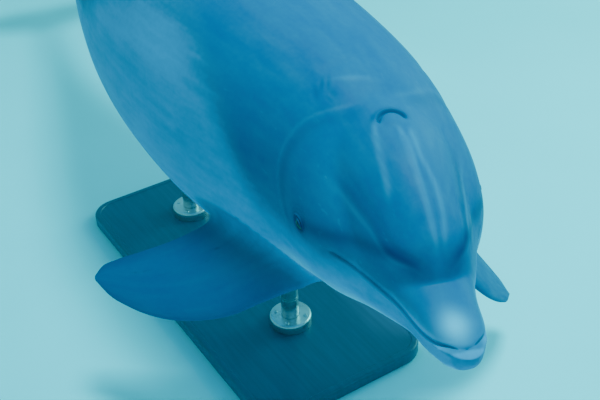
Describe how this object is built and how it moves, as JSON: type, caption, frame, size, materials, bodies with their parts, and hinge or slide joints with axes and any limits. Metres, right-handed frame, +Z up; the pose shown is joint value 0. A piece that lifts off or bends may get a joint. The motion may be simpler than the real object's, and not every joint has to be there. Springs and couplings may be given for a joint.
{
  "type": "bottlenose dolphin model",
  "caption": "Life-size still model of a bottlenose dolphin, head turned to its right and flippers spread, held level above a flat base on upright rods.",
  "frame": {"origin": "centre of the underside of the stand's base", "axes": "+Z up, -Y towards the animal's head along its trunk, +X towards the animal's left"},
  "size_m": [0.8959, 2.5746, 0.9832],
  "materials": {
    "skin": "smooth, wet, slate blue-grey above and paler below",
    "eye": "dark and glossy",
    "stand_base": "satin charcoal lacquer",
    "stand_metal": "brushed"
  },
  "bodies": {
    "root": {"rostrum": "skin", "lower_jaw": "skin", "head": "skin", "blowhole_flap": "skin", "neck": "skin", "chest": "skin", "trunk": "skin", "tail_stock_front": "skin", "tail_stock_rear": "skin", "fluke_left": "skin", "fluke_right": "skin", "dorsal_fin": "skin", "flipper_left": "skin", "flipper_right": "skin", "eye_left": "eye", "eye_right": "eye", "stand_base": "stand_base", "stand_rod_front": "stand_metal", "stand_rod_rear": "stand_metal", "stand_collar_front": "stand_metal", "stand_collar_rear": "stand_metal"}
  },
  "joints": []
}
